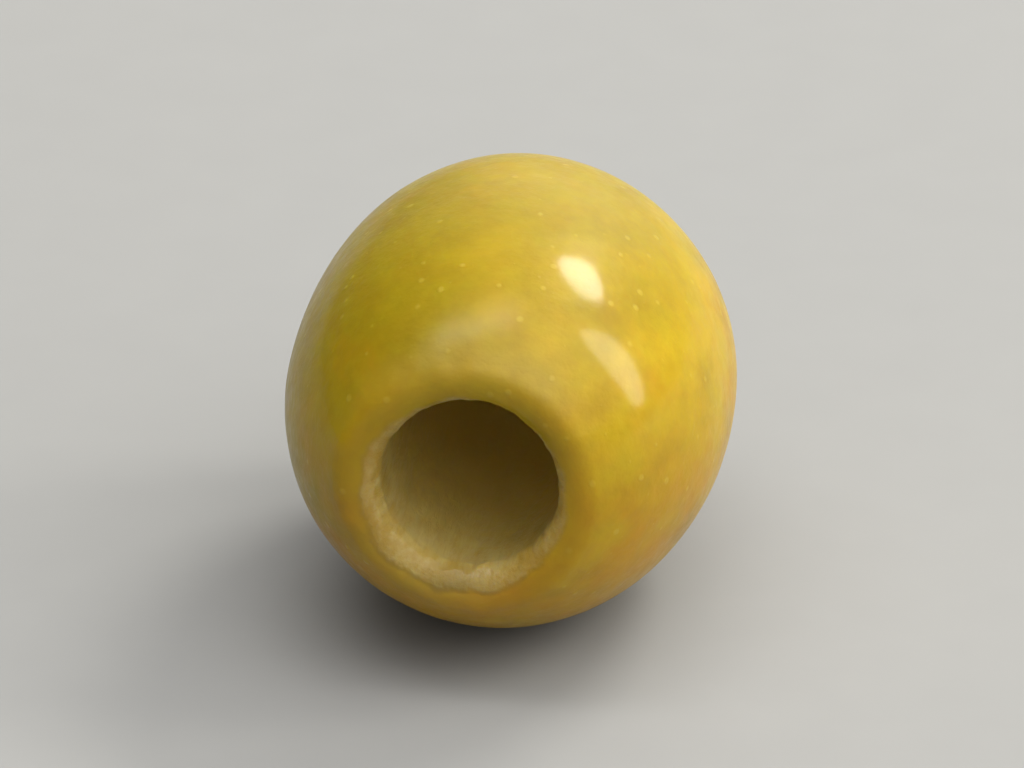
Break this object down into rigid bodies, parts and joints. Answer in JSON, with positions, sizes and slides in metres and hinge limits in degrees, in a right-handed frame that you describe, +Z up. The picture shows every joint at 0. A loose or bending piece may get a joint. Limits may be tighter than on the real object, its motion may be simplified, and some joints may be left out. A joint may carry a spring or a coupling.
{
  "type": "green olive",
  "caption": "Pitted green table olive: egg-shaped flesh with the round hole left by the stone, an open hollow behind it and a closed cross cut at the far end.",
  "frame": {"origin": "middle of the flat spot that the olive lies on", "axes": "+Z up, away from the flat spot; +Y along the olive towards its closed, dimpled end, so the round hole faces -Y and 4 degrees up; +X to the right seen from the hole"},
  "size_m": [0.0174, 0.0209, 0.0169],
  "materials": {
    "olive_flesh": "gloss"
  },
  "bodies": {
    "root": {"olive": "olive_flesh"}
  },
  "joints": []
}
